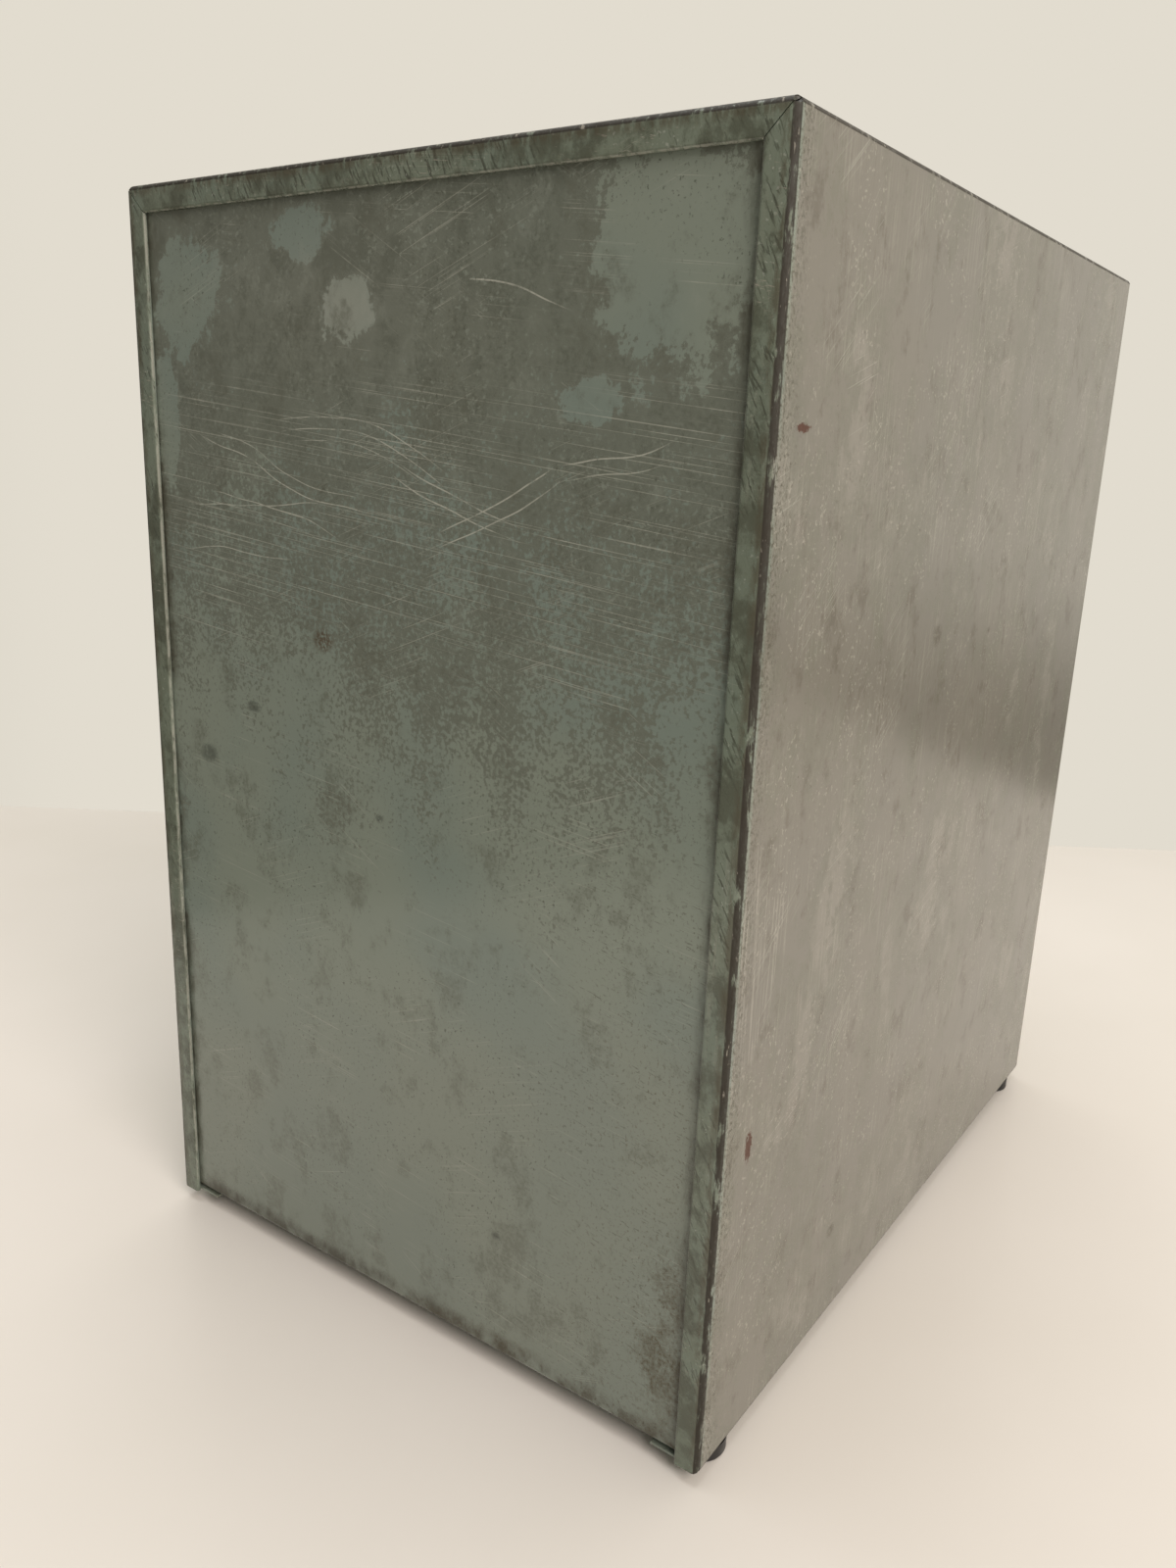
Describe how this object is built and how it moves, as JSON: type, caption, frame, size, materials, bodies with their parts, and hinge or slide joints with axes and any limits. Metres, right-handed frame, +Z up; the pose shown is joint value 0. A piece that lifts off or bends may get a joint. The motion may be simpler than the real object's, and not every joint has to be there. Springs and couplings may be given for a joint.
{
  "type": "filing cabinet",
  "caption": "Desk-top filing cabinet in folded, worn grey-green sheet steel, with flat sliding drawers, label-frame pulls and rubber feet.",
  "frame": {"origin": "bottom centre of the whole cabinet: the feet stand on z = 0", "axes": "+Z up, the drawers face -Y and pull out that way, +X to the right of someone facing the drawers"},
  "size_m": [0.28, 0.386, 0.437],
  "materials": {
    "case_paint": "worn grey-green enamel, stained and scratched",
    "inner_paint": "grey-green enamel, satin, little worn",
    "plated_steel": "zinc-plated, dulled",
    "pull_nickel": "nickel plate, slightly tarnished",
    "label_card": "matt card, yellowed",
    "fixings": "zinc-plated",
    "foot_rubber": "black, moulded, slightly glossy"
  },
  "bodies": {
    "case": {"case_wrapper": "case_paint", "back_panel": "case_paint", "base_panel": "inner_paint", "rear_stop_left": "plated_steel", "rear_stop_right": "plated_steel", "foot_front_left": "foot_rubber", "foot_screw_front_left": "fixings", "foot_nut_front_left": "fixings", "foot_front_right": "foot_rubber", "foot_screw_front_right": "fixings", "foot_nut_front_right": "fixings", "foot_back_left": "foot_rubber", "foot_screw_back_left": "fixings", "foot_nut_back_left": "fixings", "foot_back_right": "foot_rubber", "foot_screw_back_right": "fixings", "foot_nut_back_right": "fixings", "runner_left_1": "plated_steel", "runner_right_1": "plated_steel", "runner_left_2": "plated_steel", "runner_right_2": "plated_steel", "runner_left_3": "plated_steel", "runner_right_3": "plated_steel", "runner_left_4": "plated_steel", "runner_right_4": "plated_steel", "runner_left_5": "plated_steel", "runner_right_5": "plated_steel"},
    "drawer_1": {"drawer_1_tray": "inner_paint", "drawer_1_front": "case_paint", "drawer_1_pull": "pull_nickel", "drawer_1_card": "label_card", "drawer_1_rivet_left": "pull_nickel", "drawer_1_rivet_right": "pull_nickel"},
    "drawer_2": {"drawer_2_tray": "inner_paint", "drawer_2_front": "case_paint", "drawer_2_pull": "pull_nickel", "drawer_2_card": "label_card", "drawer_2_rivet_left": "pull_nickel", "drawer_2_rivet_right": "pull_nickel"},
    "drawer_3": {"drawer_3_tray": "inner_paint", "drawer_3_front": "case_paint", "drawer_3_pull": "pull_nickel", "drawer_3_card": "label_card", "drawer_3_rivet_left": "pull_nickel", "drawer_3_rivet_right": "pull_nickel"},
    "drawer_4": {"drawer_4_tray": "inner_paint", "drawer_4_front": "case_paint", "drawer_4_pull": "pull_nickel", "drawer_4_card": "label_card", "drawer_4_rivet_left": "pull_nickel", "drawer_4_rivet_right": "pull_nickel"},
    "drawer_5": {"drawer_5_tray": "inner_paint", "drawer_5_front": "case_paint", "drawer_5_pull": "pull_nickel", "drawer_5_card": "label_card", "drawer_5_rivet_left": "pull_nickel", "drawer_5_rivet_right": "pull_nickel"}
  },
  "joints": [
    {"name": "drawer_1_slide", "type": "slide", "parent": "case", "child": "drawer_1", "axis": [0, -1, 0], "range_m": [0, 0.26]},
    {"name": "drawer_2_slide", "type": "slide", "parent": "case", "child": "drawer_2", "axis": [0, -1, 0], "range_m": [0, 0.26]},
    {"name": "drawer_3_slide", "type": "slide", "parent": "case", "child": "drawer_3", "axis": [0, -1, 0], "range_m": [0, 0.26]},
    {"name": "drawer_4_slide", "type": "slide", "parent": "case", "child": "drawer_4", "axis": [0, -1, 0], "range_m": [0, 0.26]},
    {"name": "drawer_5_slide", "type": "slide", "parent": "case", "child": "drawer_5", "axis": [0, -1, 0], "range_m": [0, 0.26]}
  ]
}
